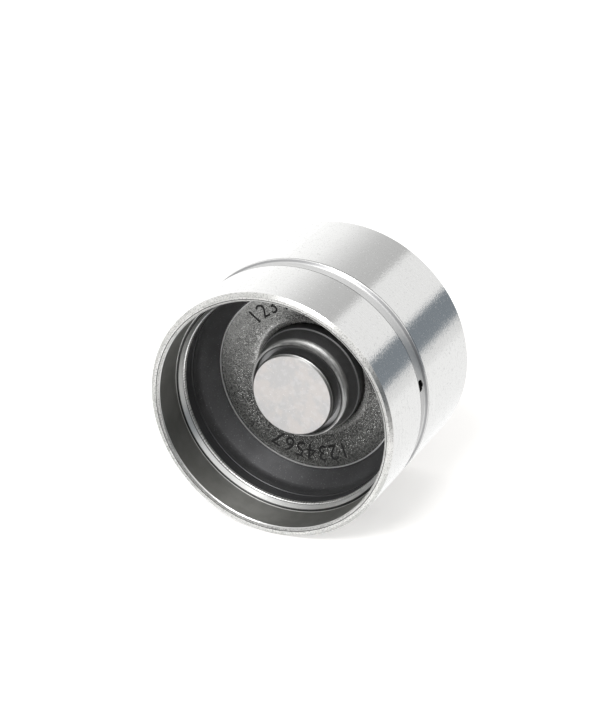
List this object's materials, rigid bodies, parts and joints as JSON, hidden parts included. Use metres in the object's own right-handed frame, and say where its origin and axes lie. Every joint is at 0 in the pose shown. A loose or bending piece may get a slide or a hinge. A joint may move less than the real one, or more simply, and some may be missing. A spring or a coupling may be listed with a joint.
{
  "type": "hydraulic valve lifter",
  "caption": "Bucket tappet that takes up valve lash by oil: sprung closed cylinder in a guided hub, with a check valve under it.",
  "frame": {"origin": "centre of the crown's outer face, on the axis", "axes": "+Z along the lifter's axis from the crown to the mouth; the oil hole is on the -Y side"},
  "size_m": [0.035, 0.035, 0.026],
  "materials": {
    "ground_steel": "ground",
    "dark_sheet": "dark, smooth",
    "phosphated_hub": "phosphated, grainy",
    "hardened_steel": "ground pad on a dark body",
    "spring_steel": "oiled",
    "ball_steel": "polished",
    "pressed_sheet": "bright pressed sheet"
  },
  "bodies": {
    "bucket": {"bucket_shell": "ground_steel", "guide_web": "dark_sheet", "guide_sleeve": "phosphated_hub", "plunger": "hardened_steel", "ball_cage": "pressed_sheet", "ball_spring": "spring_steel", "return_spring": "spring_steel"},
    "cylinder": {"pressure_cylinder": "hardened_steel", "retaining_ring": "spring_steel"},
    "ball": {"check_ball": "ball_steel"}
  },
  "joints": [
    {"name": "cylinder_slide", "type": "slide", "parent": "bucket", "child": "cylinder", "axis": [0, 0, 1], "range_m": [-0.0024, 0], "stiffness_N_per_m": 1200, "springref_m": 0.001, "deforming": ["return_spring"]},
    {"name": "ball_lift", "type": "slide", "parent": "bucket", "child": "ball", "axis": [0, 0, 1], "range_m": [0, 0.0003], "stiffness_N_per_m": 20, "springref_m": -0.0001, "deforming": ["ball_spring"]}
  ]
}
